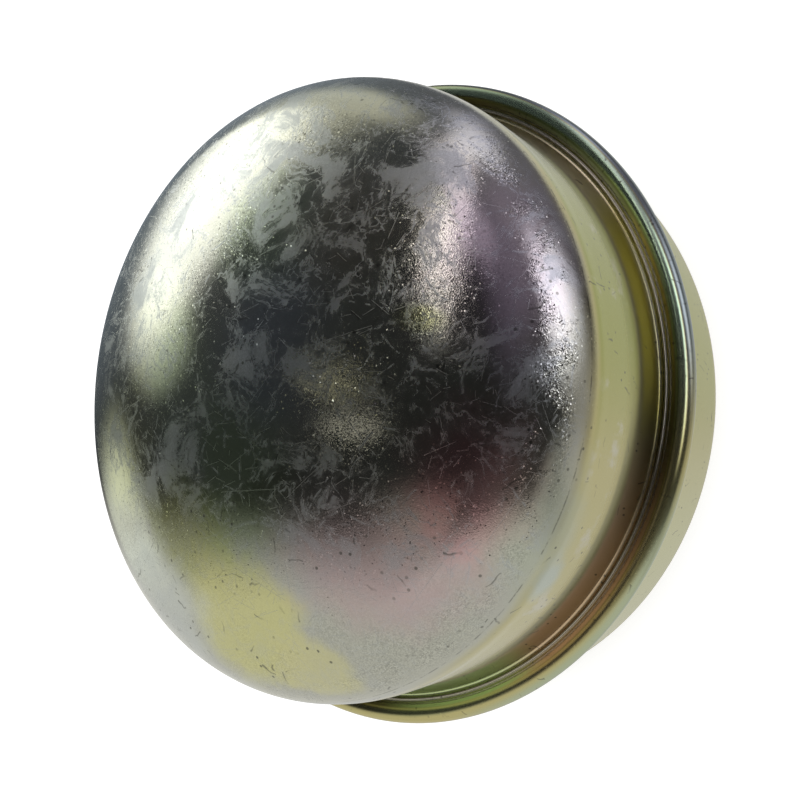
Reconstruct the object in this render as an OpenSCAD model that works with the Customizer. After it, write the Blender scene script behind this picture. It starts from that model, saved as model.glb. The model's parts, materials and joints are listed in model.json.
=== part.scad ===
// Hub grease cap: one pressed steel cup with a domed end, a folded stop bead and a push-in skirt.
// Millimetres. The cap stands on its open rim at z = 0 and its axis is +Z, with the dome upward.
// Every round surface is turned from true arcs, so one section describes the whole cap.

/* [Skirt] */
// Outside diameter of the skirt that is pressed into the hub
skirt_d = 65; // [58:0.5:72]
// Length of the skirt from its open edge to the underside of the bead
skirt_len = 10; // [6:0.5:18]
// Rounding of the outer edge at the open end, which leads the cap in
lead_r = 0.5; // [0.2:0.05:0.6]

/* [Bead] */
// How far the folded bead stands out past the skirt
bead_out = 1.25; // [1:0.05:1.6]
// Height of the bead's crown over the valley between bead and ridge
bead_rise = 0.65; // [0.4:0.05:0.7]
// Width of the fine ridge inside the bead
ridge_w = 0.28; // [0.2:0.02:0.4]
// Flat between the ridge and the foot of the flare
foot_w = 0.32; // [0.2:0.02:0.4]

/* [Body] */
// Difference in radius between the skirt and the body wall
body_step = 2.7; // [2.4:0.1:3.4]
// Radius of the hollow flare between the wall and the bead
flare_r = 5.8; // [4.6:0.2:8]
// Straight height of the body wall over the flare
wall_h = 6; // [3:0.5:16]

/* [Dome] */
// Radius of the shoulder bend between the wall and the crown
shoulder_r = 9.2; // [6:0.2:13]
// Radius of the shallow crown
crown_r = 66; // [50:1:120]

/* [Sheet] */
// Thickness of the sheet
sheet_t = 1; // [0.8:0.1:1.2]

/* [Hidden] */
$fn = 96;
skirt_r = skirt_d / 2;
wall_r = skirt_r - body_step;
bead_r = skirt_r + bead_out;

// The bead is the sheet folded tight on itself, so its round is one sheet and a little spring.
fold_slack = 0.05;
fold_r = sheet_t + fold_slack;
bead_c = bead_r - fold_r;
bead_z = skirt_len + fold_r;

// Valley between bead and ridge, with a small fillet up to the bead.
valley_z = bead_z + fold_r - bead_rise;
valley_fr = 0.3;
valley_fz = valley_z + valley_fr;
valley_fx = bead_c - sqrt(pow(fold_r + valley_fr, 2) - pow(valley_fz - bead_z, 2));

valley_tx = bead_c + (valley_fx - bead_c) * fold_r / (fold_r + valley_fr);
valley_tz = bead_z + (valley_fz - bead_z) * fold_r / (fold_r + valley_fr);

// Ridge and foot, both set in from the valley.
ridge_gap = 0.05;
ridge_r = valley_fx - ridge_gap - ridge_w / 2;
foot_r = ridge_r - ridge_w / 2 - foot_w;

// The flare's arc leaves the wall at flare_z and meets the valley's level at the foot.
flare_x = wall_r + flare_r;
flare_z = valley_z + sqrt(pow(flare_r, 2) - pow(flare_x - foot_r, 2));

// Shoulder and crown touch where their centres are in line.
shoulder_x = wall_r - shoulder_r;
shoulder_z = flare_z + wall_h;
crown_z = shoulder_z - sqrt(pow(crown_r - shoulder_r, 2) - pow(shoulder_x, 2));
touch_share = shoulder_x / (crown_r - shoulder_r);
top_z = crown_z + crown_r;

// Fillet under the bead, where the fold turns down into the skirt.
under_fr = 0.4;
under_fx = skirt_r + under_fr;
under_fz = bead_z - sqrt(pow(fold_r + under_fr, 2) - pow(under_fx - bead_c, 2));
under_tx = bead_c + (under_fx - bead_c) * fold_r / (fold_r + under_fr);
under_tz = bead_z + (under_fz - bead_z) * fold_r / (fold_r + under_fr);

// Inside of the step under the flare.
inner_r = skirt_r - sheet_t;
step_z = valley_z - sheet_t;
step_fr = 0.5;
below = 1;
arc_fn = 360;

cap_col = [0.68, 0.67, 0.45];

// Half section of the domed end, from the shoulder's level up, set in from the outside by t.
module dome_area(t) {
    intersection() {
        translate([0, crown_z]) circle(r = crown_r - t, $fn = arc_fn);
        union() {
            translate([shoulder_x, shoulder_z]) circle(r = shoulder_r - t, $fn = arc_fn);
            translate([0, shoulder_z]) square([touch_share * (crown_r - t), crown_r]);
        }
    }
}

// Half section of the wall and the flare, reaching down into the rim's own area.
module body_area() {
    translate([0, flare_z]) square([wall_r, wall_h]);
    difference() {
        translate([0, step_z]) square([foot_r, flare_z - step_z]);
        translate([flare_x, flare_z]) circle(r = flare_r, $fn = arc_fn);
    }
}

// Half section of the skirt, the bead, the valley and the ridge.
module rim_area() {
    difference() {
        polygon([
            [0, 0],
            [skirt_r, 0],
            [skirt_r, under_fz],
            [under_fx, under_fz],
            [under_tx, under_tz],
            [bead_c, bead_z],
            [valley_tx, valley_tz],
            [valley_fx, valley_fz],
            [valley_fx, valley_z],
            [0, valley_z]
        ]);
        translate([under_fx, under_fz]) circle(r = under_fr);
        translate([valley_fx, valley_fz]) circle(r = valley_fr);
    }
    translate([bead_c, bead_z]) circle(r = fold_r);
    translate([ridge_r, valley_z]) circle(r = ridge_w / 2);
}

// Everything inside the outer surface.
module outer_area() {
    dome_area(0);
    body_area();
    rim_area();
}

// The hollow inside, open at the rim.
module inner_area() {
    dome_area(sheet_t);
    translate([0, flare_z]) square([wall_r - sheet_t, wall_h]);
    difference() {
        translate([0, step_z]) square([inner_r - step_fr, flare_z - step_z]);
        translate([flare_x, flare_z]) circle(r = flare_r + sheet_t, $fn = arc_fn);
    }
    translate([0, -below]) square([inner_r, below + step_z - step_fr]);
    translate([0, step_z - step_fr]) square([inner_r - step_fr, step_fr]);
    translate([inner_r - step_fr, step_z - step_fr]) circle(r = step_fr);
}

// Outside rounding of the open edge.
module lead_corner() {
    difference() {
        translate([skirt_r - lead_r, -below]) square([lead_r + below, lead_r + below]);
        translate([skirt_r - lead_r, lead_r]) circle(r = lead_r);
    }
}

// Half plane that keeps the section on one side of the axis.
module right_side() {
    translate([0, -below]) square([bead_r + below, top_z + 2 * below]);
}

module grease_cap() {
    color(cap_col)
    rotate_extrude($fn = 180)
    difference() {
        intersection() {
            outer_area();
            right_side();
        }
        inner_area();
        lead_corner();
    }
}

grease_cap();
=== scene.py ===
"""A pressed hub grease cap in yellow passivated zinc, standing on its rim on a plain floor."""
import json
import math
from collections import namedtuple

import bpy
from bpy.props import FloatProperty, FloatVectorProperty, IntProperty, PointerProperty
from mathutils import Matrix, Vector


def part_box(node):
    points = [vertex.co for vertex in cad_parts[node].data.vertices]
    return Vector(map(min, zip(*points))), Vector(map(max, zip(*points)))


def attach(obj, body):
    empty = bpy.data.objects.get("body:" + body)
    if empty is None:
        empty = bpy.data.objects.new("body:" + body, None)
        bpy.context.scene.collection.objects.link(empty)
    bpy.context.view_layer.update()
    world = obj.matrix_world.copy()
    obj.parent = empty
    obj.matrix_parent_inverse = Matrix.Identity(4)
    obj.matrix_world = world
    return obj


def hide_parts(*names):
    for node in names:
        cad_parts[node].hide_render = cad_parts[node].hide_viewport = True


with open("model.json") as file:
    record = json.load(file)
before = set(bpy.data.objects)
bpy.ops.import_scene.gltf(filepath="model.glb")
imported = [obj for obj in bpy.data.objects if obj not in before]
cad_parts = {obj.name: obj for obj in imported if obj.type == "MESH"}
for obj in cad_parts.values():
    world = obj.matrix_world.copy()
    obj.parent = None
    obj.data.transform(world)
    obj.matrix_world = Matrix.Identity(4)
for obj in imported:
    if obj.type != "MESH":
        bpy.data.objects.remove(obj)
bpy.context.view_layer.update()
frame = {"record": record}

bl_info = {
    "name": "Hub Grease Cap",
    "version": (1, 0, 0),
    "blender": (4, 5, 0),
    "location": "3D View > Sidebar > Grease Cap",
    "description": "Builds a pressed steel hub grease cap, its passivated finish and its studio",
    "category": "Object",
}

MM = 0.001
CAP_LOW, CAP_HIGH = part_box("grease_cap")
SKIRT_MOUNT = next(m for m in frame["record"]["mounts"] if m["name"] == "skirt")
SKIRT_RADIUS = SKIRT_MOUNT["dims"]["r_mm"] * MM
BEAD_RADIUS = (CAP_HIGH[0] - CAP_LOW[0]) / 2
CAP_HEIGHT = CAP_HIGH[2] - CAP_LOW[2]


# Settings

def length(name, description, default):
    """A setting that is a length, in metres."""
    return FloatProperty(name=name, description=description, default=default, unit="LENGTH")


def angle(name, description, degrees):
    """A setting that is an angle."""
    return FloatProperty(name=name, description=description, default=math.radians(degrees),
                         subtype="ANGLE")


def ratio(name, description, default):
    """A setting from 0 to 1."""
    return FloatProperty(name=name, description=description, default=default, min=0, max=1,
                         subtype="FACTOR")


def film(name, description, default):
    """A setting that is a colour of the metal: its film, and for the rim also painted light and
    shade.
    """
    return FloatVectorProperty(name=name, description=description, default=default, size=3,
                               min=0, max=1, subtype="COLOR")


class CapShape(bpy.types.PropertyGroup):
    """Sizes of the cap's section, as the solid model has them."""
    skirt_radius: length("Skirt radius", "Outside radius of the press-in skirt", SKIRT_RADIUS)
    skirt_length: length("Skirt length", "From the open edge to the underside of the bead",
                         10 * MM)
    lead_radius: length("Lead rounding", "Rounding of the skirt's outer open edge", 0.5 * MM)
    bead_radius: length("Bead radius", "Outside radius of the stop bead", round(BEAD_RADIUS, 5))
    bead_rise: length("Bead rise", "Height of the bead's crown over the valley inside it",
                      0.65 * MM)
    ridge_width: length("Ridge width", "Width of the fine ridge inside the bead", 0.28 * MM)
    foot_width: length("Foot width", "Flat between the ridge and the flare", 0.32 * MM)
    body_step: length("Body step", "Difference in radius between skirt and body wall", 2.7 * MM)
    flare_radius: length("Flare radius", "Radius of the hollow flare under the wall", 5.8 * MM)
    wall_height: length("Wall height", "Straight height of the body wall", 6 * MM)
    shoulder_radius: length("Shoulder radius", "Bend between the wall and the crown", 9.2 * MM)
    crown_radius: length("Crown radius", "Radius of the shallow crown", 66 * MM)
    sheet: length("Sheet thickness", "Thickness of the steel sheet", 1 * MM)
    segments: IntProperty(
        name="Segments", description="Steps round the cap", default=320, min=48, max=400)
    unevenness: length("Unevenness", "Depth of the slight hollows left by pressing and handling",
                       0.03 * MM)


class CapFinish(bpy.types.PropertyGroup):
    """Colours and wear of the passivated zinc, with the painted shade, highlights and reflection of
    the rim.
    """
    dome_colour: film("Dome", "Zinc on the dome, where the film is thin", (0.47, 0.475, 0.43))
    wall_colour: film("Wall", "Yellow film on the wall and the skirt", (0.54, 0.49, 0.235))
    # Painted shade: the groove and the bead's inner face are darkened here, over a browner film.
    groove_film_and_shade: film("Groove", "Brown film in the groove between the wall and the bead",
                        (0.30, 0.28, 0.15))
    # Painted highlight: the fine ridge is painted pale, as if lit.
    ridge_highlight_colour: film("Ridge", "Rubbed zinc on the fine ridge", (0.58, 0.54, 0.48))
    # Painted highlight: the colour of the glint on the bead's crown, on its lit side.
    bead_glint_colour: film("Bead top", "Green film on the crown of the stop bead",
                          (0.40, 0.52, 0.40))
    # Painted reflection: a darker blue-grey band on the bead's outer side, on its lit side.
    bead_side_reflection_colour: film("Bead side", "Blue-grey film on the outer side of the stop bead",
                      (0.25, 0.29, 0.30))
    polish: ratio("Roughness", "Roughness of the clean zinc", 0.105)
    wall_softness: ratio("Wall softness", "Extra roughness of the wall, the groove and the skirt",
                         0.12)
    scuff_roughness: ratio("Scuff roughness", "Roughness of the scuffed patches", 0.48)


class StudioSettings(bpy.types.PropertyGroup):
    """The photograph's camera and the light round the cap."""
    camera_back: length("Camera back", "Distance of the camera from the cap's axis", 53.95 * MM)
    camera_height: length("Camera height", "Height of the camera over the floor", 78.93 * MM)
    camera_pitch: angle("Pitch", "Downward tilt of the camera", 53.2)
    camera_turn: angle("Turn", "Turn of the camera about the vertical", 0.15)
    camera_roll: angle("Roll", "Roll of the camera, which lays the cap on its side", -81.2)
    lens: FloatProperty(
        name="Lens", description="Focal length on a 36 mm wide sensor, in millimetres",
        default=36.0)
    surround_radius: length("Surround radius", "Radius of the ball of light that the metal mirrors",
                            1.2)
    sheet_reach: length("White sheet", "How far from the axis the mirrored floor stays white",
                        50 * MM)
    lamp_power: FloatProperty(
        name="Lamp power", description="Power of the overhead softbox", default=9.0, unit="POWER")


# Node helpers

def feed(tree, socket, value):
    """Links another socket to this one, or sets its value."""
    if isinstance(value, bpy.types.NodeSocket):
        tree.links.new(value, socket)
    else:
        socket.default_value = value


def place(tree, kind, inputs=None, **settings):
    """A node of that kind, with its settings and inputs; an input is a value or another socket."""
    node = tree.nodes.new(kind)
    for name, value in settings.items():
        setattr(node, name, value)
    for key, value in (inputs or {}).items():
        feed(tree, node.inputs[key], value)
    return node


def calc(tree, operation, *values, clamp=False):
    """The output of a Math node."""
    node = place(tree, "ShaderNodeMath", dict(enumerate(values)), operation=operation)
    node.use_clamp = clamp
    return node.outputs[0]


def times(tree, first, second):
    """The product of two numbers."""
    return calc(tree, "MULTIPLY", first, second)


def vector_calc(tree, operation, *values):
    """The output of a Vector Math node: a number for a length or a dot product, else a vector."""
    node = place(tree, "ShaderNodeVectorMath", dict(enumerate(values)), operation=operation)
    return node.outputs["Value" if operation in ("LENGTH", "DOT_PRODUCT") else "Vector"]


def split(tree, vector):
    """The X, Y and Z of a vector."""
    return place(tree, "ShaderNodeSeparateXYZ", {0: vector}).outputs


def scaled(tree, vector, factor):
    """The vector times a number."""
    node = place(tree, "ShaderNodeVectorMath", {0: vector, "Scale": factor}, operation="SCALE")
    return node.outputs[0]


def ramp(tree, value, low, high, smooth=True, to_low=0.0, to_high=1.0):
    """The value carried from low..high to to_low..to_high."""
    node = place(
        tree, "ShaderNodeMapRange",
        {"Value": value, "From Min": low, "From Max": high, "To Min": to_low, "To Max": to_high},
        interpolation_type="SMOOTHSTEP" if smooth else "LINEAR")
    return node.outputs["Result"]


def fall(tree, value, low, high):
    """The value carried from low..high to 1..0, smoothly."""
    return ramp(tree, value, low, high, to_low=1.0, to_high=0.0)


def blend_colour(tree, factor, first, second, mode="MIX"):
    """The colour of a Mix node."""
    node = place(tree, "ShaderNodeMix", data_type="RGBA", blend_type=mode)
    sockets = [s for s in node.inputs if s.enabled]
    for socket, value in zip(sockets, (factor, first, second)):
        feed(tree, socket, value)
    return next(s for s in node.outputs if s.enabled)


def rgba(colour):
    """A colour with its alpha."""
    return (*colour[:3], 1.0)


def direction(azimuth, polar):
    """A unit vector: azimuth in degrees from +X towards +Y, polar in degrees down from +Z."""
    a, p = math.radians(azimuth), math.radians(polar)
    return Vector((math.sin(p) * math.cos(a), math.sin(p) * math.sin(a), math.cos(p)))


def noise(tree, vector, scale, detail=2.0, roughness=0.5, distortion=0.0):
    """The factor of a Noise Texture."""
    node = place(
        tree, "ShaderNodeTexNoise",
        {"Vector": vector, "Scale": scale, "Detail": detail, "Roughness": roughness,
         "Distortion": distortion})
    return node.outputs["Fac"]


def new_group(name, kind, inputs, outputs):
    """An empty node group, the sockets that bring its inputs and those that take its outputs."""
    tree = bpy.data.node_groups.new(name, kind)
    for label, data, default in inputs:
        socket = tree.interface.new_socket(label, in_out="INPUT", socket_type="NodeSocket" + data)
        if default is not None:
            socket.default_value = default
    for label, data in outputs:
        tree.interface.new_socket(label, in_out="OUTPUT", socket_type="NodeSocket" + data)
    given = tree.nodes.new("NodeGroupInput").outputs
    return tree, given, tree.nodes.new("NodeGroupOutput").inputs


# The section

FOLD_SLACK = 0.05 * MM
VALLEY_FILLET = 0.3 * MM
RIDGE_GAP = 0.05 * MM
BEAD_FILLET = 0.4 * MM
INNER_STEP_FILLET = 0.5 * MM


def arc(centre_r, centre_z, radius, start, end, steps):
    """Points of an arc in the section, from one angle in degrees to another."""
    angles = [math.radians(start + (end - start) * i / steps) for i in range(steps + 1)]
    return [(centre_r + radius * math.cos(a), centre_z + radius * math.sin(a)) for a in angles]


def straight(start, end, steps):
    """Points on a straight stretch, without its two ends."""
    return [(start[0] + (end[0] - start[0]) * i / steps, start[1] + (end[1] - start[1]) * i / steps)
            for i in range(1, steps)]


def degrees_to(from_point, to_point):
    """Direction from one point of the section to another."""
    return math.degrees(math.atan2(to_point[1] - from_point[1], to_point[0] - from_point[0]))


def cap_section(shape):
    """The section in two parts: outside from the apex to the rim, inside from the rim back."""
    fold = shape.sheet + FOLD_SLACK
    bead = (shape.bead_radius - fold, shape.skirt_length + fold)
    valley_z = bead[1] + fold - shape.bead_rise
    fillet_z = valley_z + VALLEY_FILLET
    valley = (bead[0] - math.sqrt((fold + VALLEY_FILLET) ** 2 - (fillet_z - bead[1]) ** 2),
              fillet_z)
    ridge = (valley[0] - RIDGE_GAP - shape.ridge_width / 2, valley_z)
    foot_r = ridge[0] - shape.ridge_width / 2 - shape.foot_width
    wall_r = shape.skirt_radius - shape.body_step
    flare_x = wall_r + shape.flare_radius
    flare_z = valley_z + math.sqrt(shape.flare_radius ** 2 - (flare_x - foot_r) ** 2)
    shoulder = (wall_r - shape.shoulder_radius, flare_z + shape.wall_height)
    crown_z = shoulder[1] - math.sqrt(
        (shape.crown_radius - shape.shoulder_radius) ** 2 - shoulder[0] ** 2)
    touch = degrees_to((0, crown_z), shoulder)
    under_x = shape.skirt_radius + BEAD_FILLET
    under = (under_x, bead[1] - math.sqrt((fold + BEAD_FILLET) ** 2 - (under_x - bead[0]) ** 2))
    step_z = valley_z - shape.sheet
    inner_r = shape.skirt_radius - shape.sheet

    flare_end = math.degrees(math.asin((flare_z - valley_z) / shape.flare_radius))
    outer = arc(0, crown_z, shape.crown_radius, 90, touch, steps=22)
    outer += arc(*shoulder, shape.shoulder_radius, touch, 0, steps=38)[1:]
    outer += straight((wall_r, shoulder[1]), (wall_r, flare_z), steps=12)
    outer += arc(flare_x, flare_z, shape.flare_radius, 180, 180 + flare_end, steps=14)
    outer += arc(*ridge, shape.ridge_width / 2, 180, 0, steps=8)
    to_bead = degrees_to(valley, bead)
    outer += arc(*valley, VALLEY_FILLET, -90, to_bead, steps=5)
    outer += arc(*bead, fold, 180 + to_bead, degrees_to(bead, under), steps=30)[1:]
    outer += arc(*under, BEAD_FILLET, degrees_to(under, bead), 180, steps=5)[1:]
    outer += straight((shape.skirt_radius, under[1]), (shape.skirt_radius, shape.lead_radius),
                      steps=12)
    outer += arc(shape.skirt_radius - shape.lead_radius, shape.lead_radius,
                 shape.lead_radius, 0, -90, steps=6)

    thin_crown = shape.crown_radius - shape.sheet
    thin_flare = shape.flare_radius + shape.sheet
    flare_low = 180 + math.degrees(math.asin((flare_z - step_z) / thin_flare))
    corner = (inner_r - INNER_STEP_FILLET, step_z - INNER_STEP_FILLET)
    inner = [(inner_r, 0.0)]
    inner += straight((inner_r, 0), (inner_r, corner[1]), steps=8)
    inner += arc(*corner, INNER_STEP_FILLET, 0, 90, steps=5)
    inner += arc(flare_x, flare_z, thin_flare, flare_low, 180, steps=12)
    inner += straight((wall_r - shape.sheet, flare_z), (wall_r - shape.sheet, shoulder[1]),
                      steps=6)
    inner += arc(*shoulder, shape.shoulder_radius - shape.sheet, 0, touch, steps=22)
    inner += arc(0, crown_z, thin_crown, touch, 90, steps=14)[1:]
    return outer, inner


def blank_places(outer, inner):
    """Each point's distance along the sheet from its own apex, as on the flat blank."""
    def run(points):
        total, places = 0.0, [0.0]
        for a, b in zip(points, points[1:]):
            total += math.dist(a, b)
            places.append(total)
        return places
    return run(outer) + run(inner[::-1])[::-1]


# Geometry nodes

MERGE_GAP = 1e-7
DENTED_FROM = (14 * MM, 20 * MM)


def lathe_tree(material):
    """Turns a section line about Z, keeps each point's place on the blank as UVs, and dents it."""
    tree, given, result = new_group(
        "Turned Sheet", "GeometryNodeTree",
        [("Section", "Geometry", None), ("Rings", "Int", 100), ("Segments", "Int", 320),
         ("Unevenness", "Float", 0.03 * MM), ("Hollow Size", "Float", 12 * MM)],
        [("Cap", "Geometry")])
    tree.is_modifier = True
    around = calc(tree, "ADD", given["Segments"], 1)
    grid = place(tree, "GeometryNodeMeshGrid",
                 {"Size X": 1.0, "Size Y": 1.0, "Vertices X": given["Rings"], "Vertices Y": around})
    uv = split(tree, grid.outputs["UV Map"])
    point = calc(tree, "ROUND", times(tree, uv["X"], calc(tree, "SUBTRACT", given["Rings"], 1)))
    angle = times(tree, uv["Y"], 2 * math.pi)

    def on_section(value, data_type):
        return place(tree, "GeometryNodeSampleIndex",
                     {"Geometry": given["Section"], "Value": value, "Index": point},
                     data_type=data_type, domain="POINT").outputs[0]

    place_name = place(tree, "GeometryNodeInputNamedAttribute", {"Name": "blank_place"},
                       data_type="FLOAT")
    section = split(tree, on_section(place(tree, "GeometryNodeInputPosition").outputs[0],
                                     "FLOAT_VECTOR"))
    blank = on_section(place_name.outputs["Attribute"], "FLOAT")
    cos, sin = calc(tree, "COSINE", angle), calc(tree, "SINE", angle)

    turned = place(tree, "ShaderNodeCombineXYZ",
                   {"X": times(tree, section["X"], cos), "Y": times(tree, section["X"], sin),
                    "Z": section["Z"]})
    flat = place(tree, "ShaderNodeCombineXYZ",
                 {"X": times(tree, blank, cos), "Y": times(tree, blank, sin)})
    with_uv = place(tree, "GeometryNodeStoreNamedAttribute",
                    {"Geometry": grid.outputs["Mesh"], "Name": "Blank", "Value": flat.outputs[0]},
                    data_type="FLOAT2", domain="CORNER")
    shaped = place(tree, "GeometryNodeSetPosition",
                   {"Geometry": with_uv.outputs[0], "Position": turned.outputs[0]})
    closed = place(tree, "GeometryNodeMergeByDistance",
                   {"Geometry": shaped.outputs[0], "Distance": MERGE_GAP})

    where = place(tree, "GeometryNodeInputPosition").outputs[0]
    lumps = noise(tree, where, calc(tree, "DIVIDE", 1.0, given["Hollow Size"]), detail=1.0)
    depth = times(tree, calc(tree, "SUBTRACT", lumps, 0.5), given["Unevenness"])
    only_body = ramp(tree, split(tree, where)["Z"], *DENTED_FROM)
    push = scaled(tree, place(tree, "GeometryNodeInputNormal").outputs[0],
                  times(tree, depth, only_body))
    dented = place(tree, "GeometryNodeSetPosition", {"Geometry": closed.outputs[0], "Offset": push})
    smooth = place(tree, "GeometryNodeSetShadeSmooth", {"Geometry": dented.outputs[0]})
    real = place(tree, "GeometryNodeRealizeInstances", {"Geometry": smooth.outputs[0]})
    coated = place(tree, "GeometryNodeSetMaterial", {"Geometry": real.outputs[0],
                                                     "Material": material})
    tree.links.new(coated.outputs[0], result["Cap"])
    return tree


def set_input(modifier, name, value):
    """Sets a Geometry Nodes modifier's input through its socket's identifier."""
    for item in modifier.node_group.interface.items_tree:
        if item.item_type == "SOCKET" and item.in_out == "INPUT" and item.name == name:
            modifier[item.identifier] = value
            return
    raise KeyError(name)


# Finish

# Patches of other tint as they lie on the flat blank: mostly the film's own hues, while some
# lighten and tint the dome where its highlights lie, as painted highlight. at: centre in mm; size:
# half sizes in mm; edge: softness; tint: the colour there; share: how fully it covers.
Patch = namedtuple("Patch", "at size edge tint share")
FILM_AND_HIGHLIGHT_PATCHES = (
    Patch((-15, 2), (5.5, 6), 0.35, (0.50, 0.52, 0.22), 0.75),
    Patch((-21.5, -4.5), (6, 7), 0.3, (0.61, 0.60, 0.30), 0.9),
    Patch((-24, -12), (3.5, 4), 0.3, (0.62, 0.60, 0.34), 0.7),
    Patch((-23, 9), (6, 8), 0.4, (0.61, 0.64, 0.61), 0.85),
    Patch((-12.5, -18), (5, 8), 0.6, (0.52, 0.38, 0.41), 0.75),
    Patch((-5, -24.8), (5, 4.5), 0.6, (0.66, 0.35, 0.38), 0.85),
    Patch((11, -23.5), (7, 6), 0.6, (0.5, 0.4, 0.5), 0.5),
    Patch((12, -3), (5, 5), 0.6, (0.40, 0.50, 0.33), 0.6),
    Patch((13, -11), (5, 5), 0.6, (0.52, 0.44, 0.34), 0.5),
    Patch((-8, -4), (7, 5), 0.6, (0.34, 0.46, 0.24), 0.6),
    Patch((-3, 4), (7, 5), 0.6, (0.4, 0.5, 0.36), 0.4),
    Patch((3, -6), (6, 5), 0.6, (0.42, 0.46, 0.55), 0.6),
    Patch((6.2, -18.9), (1, 1.8), 0.6, (0.54, 0.55, 0.28), 0.6),
    Patch((-30, 9), (7, 9), 0.6, (0.52, 0.55, 0.56), 0.8),
    Patch((-14.9, -32.9), (2.4, 1.7), 0.6, (0.46, 0.56, 0.6), 0.6),
    Patch((-9, 15), (6, 7), 0.6, (0.56, 0.57, 0.34), 0.7),
    Patch((-9, -31), (6, 4), 0.6, (0.44, 0.48, 0.4), 0.6),
)

# Sectors of other colour round the wall and the rim: partly hues of the film, partly painted
# light and shade where the rim's reflections fall lighter or darker. arc: azimuth, half width and
# softness in degrees; from_to: distances from the apex along the sheet in mm.
ArcPatch = namedtuple("ArcPatch", "arc from_to tint")
ARC_FILM_LIGHT_AND_SHADE = (
    ArcPatch((303, 26, 14), (34.6, 42.6), (0.39, 0.405, 0.12)),
    ArcPatch((350, 22, 16), (34.6, 42.6), (0.27, 0.28, 0.12)),
    ArcPatch((300, 24, 12), (49.4, 60.0), (0.46, 0.46, 0.17)),
    ArcPatch((236, 26, 14), (49.4, 60.0), (0.62, 0.61, 0.35)),
    ArcPatch((236, 24, 14), (42.6, 47.3), (0.66, 0.50, 0.34)),
    ArcPatch((322, 18, 14), (43.2, 45.4), (0.68, 0.61, 0.42)),
    ArcPatch((292, 14, 10), (43.2, 45.3), (0.60, 0.53, 0.10)),
    ArcPatch((318, 18, 10), (46.25, 47.3), (0.22, 0.28, 0.17)),
    ArcPatch((291, 11, 7), (44.8, 47.3), (0.50, 0.48, 0.33)),
    ArcPatch((248, 22, 10), (41.4, 42.9), (0.31, 0.29, 0.14)),
    ArcPatch((210, 12, 8), (43.0, 47.3), (0.56, 0.66, 0.36)),
    ArcPatch((238, 22, 10), (47.9, 49.4), (0.46, 0.51, 0.36)),
)

# Bands of the sheet, in mm from the apex along it, and how far their edges blur.
DOME_END = (30, 35)
WALL_FILM = (33.6, 35.6)
WALL_SOFT_FROM = (35, 37)
SMUDGE_BAND, SMUDGE_BLUR = (35, 41.5), 1
FLARE_BAND, FLARE_BLUR = (40.5, 45), 1
# Painted shade in the groove and on the bead's inner face.
GROOVE_SHADE_BAND, GROOVE_SHADE_BLUR = (42.6, 47.3), 0.35
# Painted highlight on the ridge.
RIDGE_HIGHLIGHT_BAND, RIDGE_HIGHLIGHT_BLUR = (45.5, 45.95), 0.08
# Painted glint on the bead's crown.
BEAD_GLINT_BAND, BEAD_GLINT_BLUR = (47.0, 47.95), 0.1
# Painted reflection on the bead's outer side.
BEAD_REFLECTION_BAND, BEAD_REFLECTION_BLUR = (48.0, 49.6), 0.14
ARC_BLUR = 0.4
PITTED_BAND, PITTED_BLUR = (28.5, 31.8), 0.6
# A painted dark line of shade under the shoulder, where a small step's edge lies; its place drifts
# round the cap.
STEP_SHADE_BAND, STEP_SHADE_BLUR = (-0.06, 0.06), 0.09
STEP_SHADE_AT, STEP_SHADE_DRIFT, STEP_SHADE_TOWARDS = 32.7, 1.1, 325
# Sides of the cap: azimuth, half width and softness in degrees.
# The lit side, on which the bead's painted glint and reflection lie.
BEAD_LIT_SIDE = (318, 40, 12)
PITTED_SIDE = (290, 24, 14)
# The rubbing fades out between these two places along the blank's x axis, in mm.
RUBBED_FROM = (-16, -10)
# A spot of coarser crystals on the crown, with no tint of its own.
COARSE_SPOT = Patch((-1, -13.8), (4.5, 4), 0.6, None, 0.2)

# Layers of scratches: cells per metre, width and greatest length, and the share of cells used.
SCRATCHES = (
    {"Scale": 190.0, "Width": 0.05 * MM, "Length": 8.0 * MM, "Share": 0.4},
    {"Scale": 420.0, "Width": 0.045 * MM, "Length": 3.0 * MM, "Share": 0.3},
    {"Scale": 900.0, "Width": 0.045 * MM, "Length": 1.4 * MM, "Share": 0.4},
)
STROKES = {"Scale": 150.0, "Width": 0.28 * MM, "Length": 7.0 * MM, "Share": 0.8}
SMALL_STROKES = {"Scale": 330.0, "Width": 0.16 * MM, "Length": 3.5 * MM, "Share": 0.8}
TICKS = {"Scale": 480.0, "Width": 0.11 * MM, "Length": 1.5 * MM, "Share": 0.45}

SMUDGE_COLOUR = (0.60, 0.57, 0.46, 1.0)
RUBBED_COLOUR = (0.47, 0.51, 0.57, 1.0)
# Colour of the painted shade line under the shoulder.
STEP_SHADE_COLOUR = (0.06, 0.06, 0.05, 1.0)
TICK_COLOUR = (0.09, 0.09, 0.08, 1.0)
MID_GREY = (0.5, 0.5, 0.5)


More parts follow.
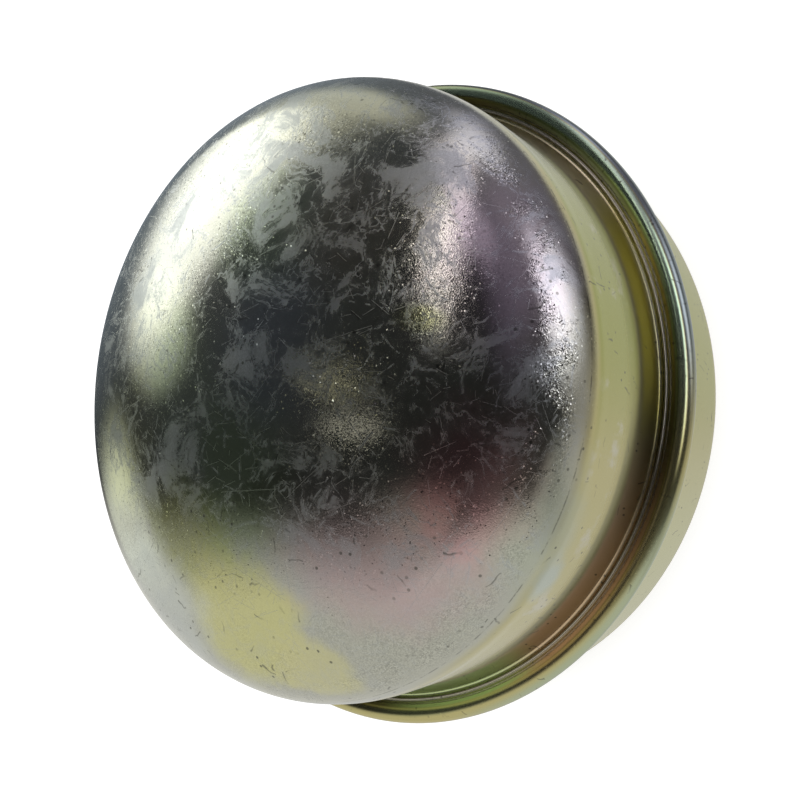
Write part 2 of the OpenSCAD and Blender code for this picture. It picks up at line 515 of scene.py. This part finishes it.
def scratch_group():
    """Short straight scratches, one in each cell of a blank, each turned its own way."""
    tree, given, result = new_group(
        "Cell Scratches", "ShaderNodeTree",
        [("Blank", "Vector", None), ("Scale", "Float", 300.0), ("Width", "Float", 0.04 * MM),
         ("Length", "Float", 2 * MM), ("Share", "Float", 0.5)],
        [("Mask", "Float")])
    cell = place(tree, "ShaderNodeTexVoronoi", {"Vector": given["Blank"], "Scale": given["Scale"]},
                 voronoi_dimensions="2D")
    pick = place(tree, "ShaderNodeSeparateColor", {0: cell.outputs["Color"]})
    local = vector_calc(tree, "SUBTRACT", given["Blank"], cell.outputs["Position"])
    turned = place(tree, "ShaderNodeVectorRotate",
                   {"Vector": local, "Angle": times(tree, pick.outputs[0], 2 * math.pi)},
                   rotation_type="Z_AXIS")
    turned = split(tree, turned.outputs[0])
    across = calc(tree, "ABSOLUTE", turned["Y"])
    side = calc(tree, "ABSOLUTE", turned["X"])
    half = times(tree, given["Length"], calc(tree, "MULTIPLY_ADD", pick.outputs[1], 0.5, 0.1))
    thin = calc(tree, "SUBTRACT", 1.0, calc(tree, "DIVIDE", across, given["Width"]), clamp=True)
    inside = calc(tree, "LESS_THAN", side, half)
    chosen = calc(tree, "LESS_THAN", pick.outputs[2], given["Share"])
    mask = times(tree, times(tree, thin, inside), chosen)
    tree.links.new(mask, result["Mask"])
    return tree


def patch_group():
    """A round patch with an uneven soft edge, at one place of the blank."""
    tree, given, result = new_group(
        "Blank Patch", "ShaderNodeTree",
        [("Blank", "Vector", None), ("Centre", "Vector", None), ("Half Size", "Vector", None),
         ("Edge", "Float", 0.5), ("Strength", "Float", 1.0), ("Wobble", "Float", 0.5)],
        [("Mask", "Float")])
    away = vector_calc(tree, "SUBTRACT", given["Blank"], given["Centre"])
    reach = vector_calc(tree, "LENGTH", vector_calc(tree, "DIVIDE", away, given["Half Size"]))
    reach = calc(tree, "ADD", reach, calc(tree, "MULTIPLY_ADD", given["Wobble"], 1.1, -0.55))
    inner = calc(tree, "SUBTRACT", 1.0, given["Edge"])
    outer = calc(tree, "ADD", 1.0, given["Edge"])
    soft = fall(tree, reach, inner, outer)
    tree.links.new(times(tree, soft, given["Strength"]), result["Mask"])
    return tree


def use_group(tree, group, **inputs):
    """A placed node group with its inputs; underscores in a name stand for spaces."""
    node = tree.nodes.new("ShaderNodeGroup")
    node.node_tree = group
    for name, value in inputs.items():
        feed(tree, node.inputs[name.replace("_", " ")], value)
    return node.outputs[0]


def past(tree, along, span, **levels):
    """A level that changes over a span of the blank; the span is in mm."""
    return ramp(tree, along, span[0] * MM, span[1] * MM, **levels)


def ring(tree, along, band, blur):
    """The mask of a band of the blank; the band and its blur are in mm."""
    low, high = band
    rise = past(tree, along, (low - blur, low + blur))
    return times(tree, rise, fall(tree, along, (high - blur) * MM, (high + blur) * MM))


def arc_mask(tree, flat, azimuth, half, soft):
    """The mask of a sector of the cap, round one azimuth; angles in degrees."""
    unit = vector_calc(tree, "NORMALIZE", vector_calc(tree, "MULTIPLY", flat, (1, 1, 0)))
    towards = vector_calc(tree, "DOT_PRODUCT", unit, direction(azimuth, 90))
    return ramp(tree, towards, math.cos(math.radians(half + soft)),
                math.cos(math.radians(max(half - soft, 0))))


def blank_patch(tree, patch, blank, wobble, spot):
    """The mask of one patch of the blank."""
    return use_group(tree, patch, Blank=blank, Centre=(spot.at[0] * MM, spot.at[1] * MM, 0),
                     Half_Size=(spot.size[0] * MM, spot.size[1] * MM, 1), Edge=spot.edge,
                     Strength=spot.share, Wobble=wobble)


def bent_blank(tree, blank, scale, reach, detail=2.0):
    """The places of the blank shifted unevenly, which bends the lines drawn on it."""
    shift = place(tree, "ShaderNodeTexNoise",
                  {"Vector": blank, "Scale": scale, "Detail": detail}).outputs["Color"]
    shift = vector_calc(tree, "SUBTRACT", shift, MID_GREY)
    return vector_calc(tree, "MULTIPLY_ADD", shift, (reach, reach, 0.0), blank)


def scuff_group(scratch):
    """Feathery rubbed patches and wide curved strokes on a blank."""
    tree, given, result = new_group(
        "Rubbed Patches", "ShaderNodeTree",
        [("Blank", "Vector", None), ("Amount", "Float", 1.0)],
        [("Mask", "Float")])
    blank = given["Blank"]
    bent = bent_blank(tree, blank, scale=260.0, reach=1.6 * MM, detail=3.0)
    patches = noise(tree, bent, scale=210.0, detail=9.0, roughness=0.72, distortion=0.6)
    areas = noise(tree, blank, scale=75.0)
    field = calc(tree, "MULTIPLY_ADD", areas, 0.45, patches)
    patches = ramp(tree, field, 0.71, 0.87)
    swirl = noise(tree, bent, scale=230.0, detail=4.0, roughness=0.6, distortion=1.0)
    web = calc(tree, "ABSOLUTE", calc(tree, "SUBTRACT", swirl, 0.5))
    web = fall(tree, web, 0.0, 0.034)
    web = times(tree, web, ramp(tree, field, 0.60, 0.78, to_low=0.04))
    patches = calc(tree, "MAXIMUM", patches, times(tree, web, 0.9))
    strokes = use_group(tree, scratch, Blank=bent, **STROKES)
    small = use_group(tree, scratch, Blank=bent, **SMALL_STROKES)
    streaks = calc(tree, "MAXIMUM", times(tree, strokes, 0.8), small)
    broken = ramp(tree, noise(tree, blank, scale=1400.0, detail=3.0), 0.35, 0.6)
    streaks = times(tree, streaks, broken)
    both = calc(tree, "MAXIMUM", patches, streaks)
    tree.links.new(times(tree, both, given["Amount"]), result["Mask"])
    return tree


def film_and_painted_light(tree, finish, blank, along, broad, patch, wobble):
    """The film: thin on the dome, yellower below the shoulder, browner in the groove, in patches,
    with painted shade in the groove and a painted highlight, glint and reflection on the ridge and
    bead.
    """
    loose = calc(tree, "MULTIPLY_ADD", broad, 2.0 * MM, along)
    colour = blend_colour(tree, past(tree, loose, WALL_FILM), rgba(finish.dome_colour),
                          rgba(finish.wall_colour))
    # Film hues, some of them lightening the dome's highlights as painted highlight.
    for spot in FILM_AND_HIGHLIGHT_PATCHES:
        mask = blank_patch(tree, patch, blank, wobble, spot)
        colour = blend_colour(tree, mask, colour, rgba(spot.tint))

    # The edge of the groove's painted shade wanders slightly round the rim.
    loose_rim = calc(tree, "MULTIPLY_ADD", broad, 0.8 * MM, calc(tree, "SUBTRACT", along, 0.4 * MM))
    # Painted shade: the groove band darkens the film.
    groove = ring(tree, loose_rim, GROOVE_SHADE_BAND, GROOVE_SHADE_BLUR)
    colour = blend_colour(tree, groove, colour, rgba(finish.groove_film_and_shade))
    # Sectors of film hue and of painted light and shade round the wall and the rim.
    for spot in ARC_FILM_LIGHT_AND_SHADE:
        mask = times(tree, arc_mask(tree, blank, *spot.arc),
                     ring(tree, along, spot.from_to, ARC_BLUR))
        colour = blend_colour(tree, mask, colour, rgba(spot.tint))
    # Painted highlight on the ridge.
    ridge = ring(tree, along, RIDGE_HIGHLIGHT_BAND, RIDGE_HIGHLIGHT_BLUR)
    colour = blend_colour(tree, ridge, colour, rgba(finish.ridge_highlight_colour))
    # Painted glint and painted reflection on the bead's lit side.
    bead_lit_side = arc_mask(tree, blank, *BEAD_LIT_SIDE)
    for band, blur, tint in ((BEAD_GLINT_BAND, BEAD_GLINT_BLUR, finish.bead_glint_colour),
                             (BEAD_REFLECTION_BAND, BEAD_REFLECTION_BLUR, finish.bead_side_reflection_colour)):
        mask = times(tree, bead_lit_side, ring(tree, along, band, blur))
        colour = blend_colour(tree, mask, colour, rgba(tint))

    # Paler smudges on the wall.
    smudge = ramp(tree, noise(tree, blank, scale=170.0, detail=6.0, roughness=0.62), 0.55, 0.68)
    smudge = times(tree, smudge, ring(tree, along, SMUDGE_BAND, SMUDGE_BLUR))
    return blend_colour(tree, times(tree, smudge, 0.75), colour, SMUDGE_COLOUR)


def wear_masks(tree, blank, on_dome, scratch):
    """How far rubbing and scratches have roughened the film, and how far they greyed it."""
    side = past(tree, split(tree, blank)["X"], RUBBED_FROM, to_low=0.3)
    rubbed = times(tree, on_dome, side)
    scuffs = use_group(tree, scuff_group(scratch), Blank=blank, Amount=rubbed)
    scratches = 0.0
    for layer in SCRATCHES:
        scratches = calc(tree, "MAXIMUM", scratches,
                         use_group(tree, scratch, Blank=blank, **layer))
    scratches = times(tree, scratches, on_dome)
    return [calc(tree, "MAXIMUM", times(tree, scuffs, scuff_share),
                 times(tree, scratches, scratch_share))
            for scuff_share, scratch_share in ((0.7, 0.75), (0.55, 0.3))]


def pit_mask(tree, blank, along, coarse):
    """A band of pits round the shoulder, deepest on one side, and one coarse spot of the crown."""
    pitted = times(tree, ring(tree, along, PITTED_BAND, PITTED_BLUR),
                   ramp(tree, noise(tree, blank, scale=420.0, detail=3.0), 0.42, 0.6))
    side = calc(tree, "MULTIPLY_ADD", arc_mask(tree, blank, *PITTED_SIDE), 0.7, 0.3)
    return calc(tree, "MAXIMUM", times(tree, pitted, side), coarse)


def crystals(tree, where, bump, pitted, patchy, rough_share, colour):
    """Crystals of zinc, each tilted its own way, a few strongly: the normal and the colour."""
    cells = place(tree, "ShaderNodeTexVoronoi", {"Vector": where, "Scale": 9600.0})
    tilt = vector_calc(tree, "SUBTRACT", cells.outputs["Color"], MID_GREY)
    steep = calc(tree, "POWER", vector_calc(tree, "LENGTH", tilt), 7.0)
    steep = times(tree, times(tree, steep, 1.9),
                  calc(tree, "ADD", calc(tree, "MULTIPLY_ADD", pitted, 4.0, rough_share), 0.25))
    leaning = vector_calc(tree, "ADD", bump, scaled(tree, tilt, steep))
    normal = vector_calc(tree, "NORMALIZE", leaning)
    cell_value = place(tree, "ShaderNodeSeparateColor", {0: cells.outputs["Color"]}).outputs[0]
    brightness = ramp(tree, cell_value, 0.0, 1.0, smooth=False, to_low=0.30, to_high=1.45)
    speckled = blend_colour(tree, 1.0, colour, brightness, mode="MULTIPLY")
    share = calc(tree, "MULTIPLY_ADD", pitted, 0.75, times(tree, patchy, 0.28), clamp=True)
    return normal, blend_colour(tree, share, colour, speckled)


def painted_step_shade(tree, blank, along, colour):
    """A thin dark broken line painted under the shoulder: painted shade of a small step's edge
    there.
    """
    lean = vector_calc(tree, "DOT_PRODUCT", vector_calc(tree, "NORMALIZE", blank),
                       direction(STEP_SHADE_TOWARDS, 90))
    drift = calc(tree, "MULTIPLY_ADD", lean, STEP_SHADE_DRIFT * MM, STEP_SHADE_AT * MM)
    line = ring(tree, calc(tree, "SUBTRACT", along, drift), STEP_SHADE_BAND, STEP_SHADE_BLUR)
    broken = ramp(tree, noise(tree, blank, scale=700.0, detail=6.0, roughness=0.7), 0.44, 0.58)
    line = times(tree, times(tree, line, broken), 0.7)
    return blend_colour(tree, line, colour, STEP_SHADE_COLOUR)


def dark_ticks(tree, blank, scratch, colour):
    """Dark specks and ticks, which show on the paler zinc."""
    cells = place(tree, "ShaderNodeTexVoronoi", {"Vector": blank, "Scale": 1100.0},
                  voronoi_dimensions="2D")
    pick = place(tree, "ShaderNodeSeparateColor", {0: cells.outputs["Color"]}).outputs[0]
    speck = fall(tree, cells.outputs["Distance"], 0.10, 0.2)
    speck = times(tree, speck, calc(tree, "LESS_THAN", pick, 0.16))
    crooked = bent_blank(tree, blank, scale=600.0, reach=1.2 * MM)
    dark = calc(tree, "MAXIMUM", speck, use_group(tree, scratch, Blank=crooked, **TICKS))
    areas = ramp(tree, noise(tree, blank, scale=190.0, detail=3.0), 0.46, 0.6)
    dark = times(tree, times(tree, dark, areas), 0.75)
    return blend_colour(tree, dark, colour, TICK_COLOUR)


def passivated_zinc(finish):
    """Yellow passivated zinc, thin and scuffed on the dome and yellower on the wall."""
    material = bpy.data.materials.new("Passivated Zinc")
    material.use_nodes = True
    tree = material.node_tree
    shader = next(n for n in tree.nodes if n.type == "BSDF_PRINCIPLED")
    blank = place(tree, "ShaderNodeUVMap", uv_map="Blank").outputs[0]
    along = vector_calc(tree, "LENGTH", blank)
    where = place(tree, "ShaderNodeTexCoord").outputs["Object"]
    broad = noise(tree, where, scale=120.0, detail=3.0)
    wobble = noise(tree, blank, scale=260.0, detail=5.0, roughness=0.6)
    scratch, patch = scratch_group(), patch_group()
    colour = film_and_painted_light(tree, finish, blank, along, broad, patch, wobble)

    # Rubbing and scratches, mostly on the dome.
    on_dome = past(tree, along, DOME_END, to_low=1.0, to_high=0.03)
    worn, greyed = wear_masks(tree, blank, on_dome, scratch)
    colour = blend_colour(tree, greyed, colour, RUBBED_COLOUR)
    roughness = ramp(tree, worn, 0.0, 1.0, smooth=False, to_low=finish.polish,
                     to_high=finish.scuff_roughness)
    below = past(tree, along, WALL_SOFT_FROM, to_high=finish.wall_softness)
    roughness = calc(tree, "ADD", roughness, below)
    flare = ring(tree, along, FLARE_BAND, FLARE_BLUR)
    roughness = calc(tree, "MULTIPLY_ADD", flare, 0.09, roughness)

    # Grain all over in patches, coarser where the zinc is pitted.
    pitted = pit_mask(tree, blank, along, blank_patch(tree, patch, blank, wobble, COARSE_SPOT))
    patchy = ramp(tree, noise(tree, blank, scale=130.0), 0.4, 0.68, to_low=0.25)
    patchy = times(tree, patchy, on_dome)
    rough_share = calc(tree, "MULTIPLY_ADD", pitted, 1.4, times(tree, patchy, 0.6))
    grain = noise(tree, where, scale=8200.0, detail=1.0)
    pits = place(tree, "ShaderNodeTexVoronoi", {"Vector": where, "Scale": 8600.0})
    relief = times(tree, calc(tree, "ADD", grain, pits.outputs["Distance"]), rough_share)
    relief = calc(tree, "MULTIPLY_ADD", noise(tree, where, scale=240.0), 0.3, relief)
    bump = place(tree, "ShaderNodeBump", {"Strength": 0.3, "Distance": 0.02 * MM,
                                          "Height": relief}).outputs[0]
    normal, colour = crystals(tree, where, bump, pitted, patchy, rough_share, colour)

    # Painted shade: a dark line under the shoulder.
    colour = painted_step_shade(tree, blank, along, colour)
    colour = dark_ticks(tree, blank, scratch, colour)
    tree.links.new(colour, shader.inputs["Base Color"])
    tree.links.new(roughness, shader.inputs["Roughness"])
    tree.links.new(normal, shader.inputs["Normal"])
    shader.inputs["Metallic"].default_value = 1.0
    return material


# Studio

# The lights of the surround. at: azimuth from +X, angle down from overhead, spin; size: half
# width and half height; all in degrees. light: red, green and blue, added to the room's own.
SoftLight = namedtuple("SoftLight", "at size edge light")
SOFT_LIGHTS = (
    SoftLight((65, 74.5, -8), (20, 13.5), 0.4, (1.95, 1.95, 1.78)),
    SoftLight((62, 76, 0), (9, 6), 0.5, (1.0, 1.0, 0.9)),
    SoftLight((85, 70, -14), (8, 10), 0.5, (0.66, 0.70, 0.53)),
    SoftLight((36, 79, 10), (21, 17), 0.4, (0.60, 0.58, 0.44)),
    SoftLight((-2.4, 58, -3), (7, 27), 0.4, (1.1, 1.0, 1.06)),
    SoftLight((5.5, 28.5, 11), (1.8, 14), 0.45, (2.7, 2.65, 2.3)),
    SoftLight((86, 20, 0), (1.3, 6.5), 0.5, (0.75, 0.7, 0.46)),
    SoftLight((117.5, 15, -22), (1.2, 6.5), 0.5, (0.8, 0.76, 0.64)),
    SoftLight((-6.6, 92.3, -17.5), (8.2, 12), 0.8, (0.9, 0.86, 1.0)),
    SoftLight((327, 82, -28), (28, 30), 0.9, (0.25, 0.22, 0.26)),
    SoftLight((303.5, 90.5, 21), (17, 12), 0.7, (1.9, 1.9, 2.0)),
    SoftLight((318, 45, 0), (20, 16), 0.8, (0.06, 0.05, 0.07)),
    SoftLight((34.4, 95, 40), (50, 36), 0.7, (0.11, 0.12, 0.13)),
    SoftLight((269.8, 111.4, 28), (39, 9.5), 0.8, (0.4, 0.38, 0.34)),
    SoftLight((204.4, 51.3, -14.6), (45.8, 26), 0.5, (0.1, 0.1, 0.09)),
    SoftLight((60.9, 109.8, -24.8), (34.7, 30), 0.5, (0.12, 0.15, 0.18)),
    SoftLight((121, 86, 0), (20, 10.5), 0.35, (0.95, 0.98, 0.84)),
    SoftLight((190, 27, 0), (10, 8), 0.7, (0.28, 0.26, 0.22)),
    SoftLight((254, 101, 0), (13, 13), 0.6, (0.34, 0.33, 0.30)),
    SoftLight((-14, 44, 47), (12, 9), 0.6, (0.30, 0.26, 0.30)),
)
ROOM_COLOUR = (0.025, 0.026, 0.025)
# The pale panel fills the directions in which x + PANEL_LEAN * z is below its soft edge.
PANEL_LEAN = 0.14
PANEL_EDGE = (-0.585, -0.25)
PANEL_COLOUR = (0.75, 0.74, 0.68)
# The surround's middle, as a share of the cap's height.
SURROUND_MIDDLE = 0.65

# The ring lights. radii and height in mm; grid: cosines at which the light is full and gone.
WALL_LIGHT = {"radii": (30.4, 34.2), "height": 12.3, "light": (0.70, 0.70, 0.68),
              "grid": (0.87, 0.66)}
BEAD_LIGHT = {"radii": (35.4, 37.4), "height": 14.8, "light": (2.2, 2.2, 2.15),
              "grid": (0.5, 0.4), "arc": (287, 15, 9)}

# The camera sees the floor's own light, weaker near the cap and full far off. Lengths in metres.
FLOOR_GREY = (0.5, 0.5, 0.5, 1.0)
FLOOR_LIGHT = (0.7, 1.1)
FLOOR_FADE = (0.12, 0.6)
FLOOR_HALF = 3.0
MIRRORED_SHEET = (0.66, 0.66, 0.64, 1.0)
SHEET_EDGE = (0.92, 1.08)
WORLD_LIGHT = 0.45
LAMP_SIZE = 1.0
LAMP_PLACE = (0.1, 0.1, 0.9)


def only_in_reflections(card):
    """Hides a card from the camera and from the floor's light."""
    card.visible_camera = False
    card.visible_diffuse = False
    card.visible_shadow = False
    card.visible_transmission = False


def soft_box(tree, unit, light):
    """The mask of a soft oval light in the surround."""
    azimuth, polar, spin = light.at
    centre = direction(azimuth, polar)
    right = direction(azimuth + 90, 90)
    upward = centre.cross(right)
    turn = math.radians(spin)
    along = right * math.cos(turn) + upward * math.sin(turn)
    across = upward * math.cos(turn) - right * math.sin(turn)
    parts = {}
    for name, axis, half in zip("XY", (along, across), light.size):
        part = vector_calc(tree, "DOT_PRODUCT", unit, axis)
        parts[name] = calc(tree, "DIVIDE", part, math.sin(math.radians(half)))
    reach = vector_calc(tree, "LENGTH", place(tree, "ShaderNodeCombineXYZ", parts).outputs[0])
    mask = fall(tree, reach, 1.0 - light.edge, 1.0 + light.edge)
    ahead = vector_calc(tree, "DOT_PRODUCT", unit, centre)
    return times(tree, mask, calc(tree, "GREATER_THAN", ahead, 0.0))


def surround_group():
    """What the metal sees in each direction from the cap: a dark room with soft lights in it."""
    tree, given, result = new_group(
        "Surround", "ShaderNodeTree", [("Direction", "Vector", None)],
        [("Colour", "Color")])
    unit = vector_calc(tree, "NORMALIZE", given["Direction"])
    xyz = split(tree, unit)
    colour = rgba(ROOM_COLOUR)
    for light in SOFT_LIGHTS:
        mask = soft_box(tree, unit, light)
        colour = blend_colour(tree, mask, colour, rgba(light.light), mode="ADD")
    lean = calc(tree, "MULTIPLY_ADD", xyz["Z"], PANEL_LEAN, xyz["X"])
    panel = fall(tree, lean, *PANEL_EDGE)
    colour = blend_colour(tree, panel, colour, rgba(PANEL_COLOUR))
    tree.links.new(colour, result["Colour"])
    return tree


def directed_from_cap(tree, centre_height):
    """The direction from the cap's middle to the point being shaded."""
    where = place(tree, "ShaderNodeTexCoord").outputs["Object"]
    return vector_calc(tree, "SUBTRACT", where, (0, 0, centre_height))


def empty_material(name):
    """A stage material with no nodes yet, whose own light is found by reflection alone."""
    material = bpy.data.materials.new(name)
    material.use_nodes = True
    material.node_tree.nodes.clear()
    material.cycles.emission_sampling = "NONE"
    return material, material.node_tree


def surround_material(surround, centre_height):
    """The surround as light."""
    material, tree = empty_material("Surround Light")
    colour = use_group(tree, surround, Direction=directed_from_cap(tree, centre_height))
    emission = place(tree, "ShaderNodeEmission", {"Color": colour})
    place(tree, "ShaderNodeOutputMaterial", {0: emission.outputs[0]})
    return material


def ring_light_material(name, ring_light):
    """A ring light with a grid: one-sided, and bright only to rays steeper than its grid."""
    material, tree = empty_material(name)
    steep, shallow = ring_light["grid"]
    facing = place(tree, "ShaderNodeLayerWeight", {"Blend": 0.5}).outputs["Facing"]
    mask = fall(tree, facing, 1.0 - steep, 1.0 - shallow)
    behind = place(tree, "ShaderNodeNewGeometry").outputs["Backfacing"]
    mask = times(tree, mask, calc(tree, "SUBTRACT", 1.0, behind))
    if "arc" in ring_light:
        where = place(tree, "ShaderNodeTexCoord").outputs["Object"]
        mask = times(tree, mask, arc_mask(tree, where, *ring_light["arc"]))
    emission = place(tree, "ShaderNodeEmission", {"Color": rgba(ring_light["light"])})
    clear = place(tree, "ShaderNodeBsdfTransparent")
    mix = place(tree, "ShaderNodeMixShader", {0: mask, 1: clear.outputs[0], 2: emission.outputs[0]})
    place(tree, "ShaderNodeOutputMaterial", {0: mix.outputs[0]})
    return material


def stage_mesh(name, verts, faces, material):
    """A mesh object of the stage, with one material."""
    mesh = bpy.data.meshes.new(name)
    mesh.from_pydata(verts, [], faces)
    mesh.materials.append(material)
    item = bpy.data.objects.new(name, mesh)
    bpy.context.collection.objects.link(item)
    return item


def ring_card(name, ring_light, material, upward, steps=96):
    """A flat ring round the cap that only reflections see."""
    height = ring_light["height"] * MM
    verts, faces = [], []
    for i in range(steps):
        a = 2 * math.pi * i / steps
        for radius in ring_light["radii"]:
            verts.append((radius * MM * math.cos(a), radius * MM * math.sin(a), height))
    for i in range(steps):
        k = 2 * i
        n = (k + 2) % (2 * steps)
        face = (k, k + 1, n + 1, n)
        faces.append(face if upward else face[::-1])
    card = stage_mesh(name, verts, faces, material)
    only_in_reflections(card)
    return card


def surround_shell(radius, centre_height, material, steps=48):
    """A ball round the cap that only reflections see."""
    verts, faces = [], []
    for i in range(steps + 1):
        polar = 180 * i / steps
        for j in range(2 * steps):
            spot = radius * direction(180 * j / steps, polar)
            verts.append((spot.x, spot.y, centre_height + spot.z))
    for i in range(steps):
        near, far = i * 2 * steps, (i + 1) * 2 * steps
        for j in range(2 * steps):
            k = (j + 1) % (2 * steps)
            faces.append((near + j, near + k, far + k, far + j))
    shell = stage_mesh("SurroundShell", verts, faces, material)
    only_in_reflections(shell)
    return shell


def floor_material(surround, centre_height, studio):
    """A white floor that keeps the cap's shadow; reflections see it white only near the cap."""
    material, tree = empty_material("White Floor")
    path = place(tree, "ShaderNodeLightPath")
    where = place(tree, "ShaderNodeTexCoord").outputs["Object"]
    from_axis = vector_calc(tree, "LENGTH", where)

    # Far from the cap the floor turns fully white, so that no horizon shows.
    own_light = ramp(tree, from_axis, *FLOOR_FADE, to_low=FLOOR_LIGHT[0], to_high=FLOOR_LIGHT[1])
    own_light = times(tree, own_light, path.outputs["Is Camera Ray"])
    matt = place(tree, "ShaderNodeBsdfDiffuse", {"Color": FLOOR_GREY})
    light = place(tree, "ShaderNodeEmission", {"Color": (1, 1, 1, 1), "Strength": own_light})
    shown = place(tree, "ShaderNodeAddShader", {0: matt.outputs[0], 1: light.outputs[0]})

    room = use_group(tree, surround, Direction=directed_from_cap(tree, centre_height))
    near = fall(tree, from_axis, studio.sheet_reach * SHEET_EDGE[0],
                studio.sheet_reach * SHEET_EDGE[1])
    seen_colour = blend_colour(tree, near, room, MIRRORED_SHEET)
    mirrored = place(tree, "ShaderNodeEmission", {"Color": seen_colour})
    total = place(tree, "ShaderNodeMixShader",
                  {0: path.outputs["Is Glossy Ray"], 1: shown.outputs[0], 2: mirrored.outputs[0]})
    below = place(tree, "ShaderNodeNewGeometry").outputs["Backfacing"]
    clear = place(tree, "ShaderNodeBsdfTransparent")
    both = place(tree, "ShaderNodeMixShader", {0: below, 1: total.outputs[0], 2: clear.outputs[0]})
    place(tree, "ShaderNodeOutputMaterial", {0: both.outputs[0]})
    return material


def make_floor(material):
    """The floor, a square sheet at height zero, seen from above only."""
    corners = [(-FLOOR_HALF, -FLOOR_HALF, 0), (FLOOR_HALF, -FLOOR_HALF, 0),
               (FLOOR_HALF, FLOOR_HALF, 0), (-FLOOR_HALF, FLOOR_HALF, 0)]
    return stage_mesh("Floor", corners, [(0, 1, 2, 3)], material)


def white_world():
    """A world that is white where it is seen, and a soft even light elsewhere."""
    world = bpy.data.worlds.new("White Surround")
    world.use_nodes = True
    tree = world.node_tree
    tree.nodes.clear()
    path = place(tree, "ShaderNodeLightPath")
    seen = calc(tree, "MAXIMUM", path.outputs["Is Camera Ray"],
                path.outputs["Is Transmission Ray"])
    strength = ramp(tree, seen, 0.0, 1.0, smooth=False, to_low=WORLD_LIGHT, to_high=1.0)
    background = place(tree, "ShaderNodeBackground", {"Color": (1, 1, 1, 1), "Strength": strength})
    place(tree, "ShaderNodeOutputWorld", {0: background.outputs[0]})
    bpy.context.scene.world = world


def make_camera(studio):
    """The photograph's camera: above the cap's near side, rolled so that the dome points left."""
    data = bpy.data.cameras.new("Camera")
    data.lens = studio.lens
    data.sensor_width = 36.0
    data.clip_start = 0.005
    camera = bpy.data.objects.new("Camera", data)
    bpy.context.collection.objects.link(camera)
    turn = Matrix.Rotation(studio.camera_turn, 4, "Z")
    tilt = Matrix.Rotation(math.radians(90) - studio.camera_pitch, 4, "X")
    roll = Matrix.Rotation(studio.camera_roll, 4, "Z")
    spot = Matrix.Translation((0, -studio.camera_back, studio.camera_height))
    camera.matrix_world = spot @ turn @ tilt @ roll
    bpy.context.scene.camera = camera


# Operators

class CAP_OT_press(bpy.types.Operator):
    """Makes the cap from its section and gives it the passivated finish"""
    bl_idname = "cap.press"
    bl_label = "Press the Cap"

    def execute(self, context):
        shape, finish = context.scene.cap_shape, context.scene.cap_finish
        outer, inner = cap_section(shape)
        points = outer + inner
        line = bpy.data.meshes.new("Section")
        line.from_pydata([(r, 0, z) for r, z in points],
                         [(i, i + 1) for i in range(len(points) - 1)], [])
        blank = line.attributes.new("blank_place", "FLOAT", "POINT")
        blank.data.foreach_set("value", blank_places(outer, inner))
        section = bpy.data.objects.new("Section", line)
        context.collection.objects.link(section)

        lathe = section.modifiers.new("Lathe", "NODES")
        lathe.node_group = lathe_tree(passivated_zinc(finish))
        set_input(lathe, "Rings", len(points))
        set_input(lathe, "Segments", shape.segments)
        set_input(lathe, "Unevenness", shape.unevenness)
        evaluated = section.evaluated_get(context.evaluated_depsgraph_get())
        mesh = bpy.data.meshes.new_from_object(evaluated)
        bpy.data.objects.remove(section)
        mesh.name = "Grease Cap"
        cap = bpy.data.objects.new("GreaseCap", mesh)
        context.collection.objects.link(cap)
        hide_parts("grease_cap")
        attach(cap, "root")
        return {"FINISHED"}


class CAP_OT_studio(bpy.types.Operator):
    """Sets the floor, the light cards, the lamp, the world and the camera"""
    bl_idname = "cap.studio"
    bl_label = "Set the Studio"

    def execute(self, context):
        studio = context.scene.cap_studio
        centre_height = CAP_HEIGHT * SURROUND_MIDDLE
        surround = surround_group()
        floor = make_floor(floor_material(surround, centre_height, studio))
        shell = surround_shell(studio.surround_radius, centre_height,
                               surround_material(surround, centre_height))
        lamp_data = bpy.data.lights.new("Overhead Softbox", "AREA")
        lamp_data.shape = "SQUARE"
        lamp_data.size = LAMP_SIZE
        lamp_data.energy = studio.lamp_power
        lamp = bpy.data.objects.new("Overhead Softbox", lamp_data)
        lamp.location = LAMP_PLACE
        lamp.visible_glossy = False
        context.collection.objects.link(lamp)
        white_world()
        make_camera(studio)
        context.scene.view_settings.view_transform = "Standard"
        wall_ring = ring_card("WallLight", WALL_LIGHT,
                              ring_light_material("Wall Light", WALL_LIGHT), upward=True)
        bead_ring = ring_card("BeadLight", BEAD_LIGHT,
                              ring_light_material("Bead Light", BEAD_LIGHT), upward=False)
        return {"FINISHED"}


class CAP_PT_panel(bpy.types.Panel):
    """Buttons and settings of the grease cap"""
    bl_idname = "CAP_PT_panel"
    bl_label = "Grease Cap"
    bl_space_type = "VIEW_3D"
    bl_region_type = "UI"
    bl_category = "Grease Cap"

    def draw(self, context):
        for operator in OPERATORS:
            self.layout.operator(operator.bl_idname)
        for settings in (context.scene.cap_shape, context.scene.cap_finish,
                         context.scene.cap_studio):
            box = self.layout.box()
            for name in settings.__annotations__:
                box.prop(settings, name)


OPERATORS = (CAP_OT_press, CAP_OT_studio)
CLASSES = (CapShape, CapFinish, StudioSettings, *OPERATORS, CAP_PT_panel)


def register():
    for cls in CLASSES:
        bpy.utils.register_class(cls)
    bpy.types.Scene.cap_shape = PointerProperty(type=CapShape)
    bpy.types.Scene.cap_finish = PointerProperty(type=CapFinish)
    bpy.types.Scene.cap_studio = PointerProperty(type=StudioSettings)


def unregister():
    del bpy.types.Scene.cap_studio
    del bpy.types.Scene.cap_finish
    del bpy.types.Scene.cap_shape
    for cls in reversed(CLASSES):
        bpy.utils.unregister_class(cls)


def main():
    register()
    bpy.ops.cap.press()
    bpy.ops.cap.studio()


if __name__ == "__main__":
    main()
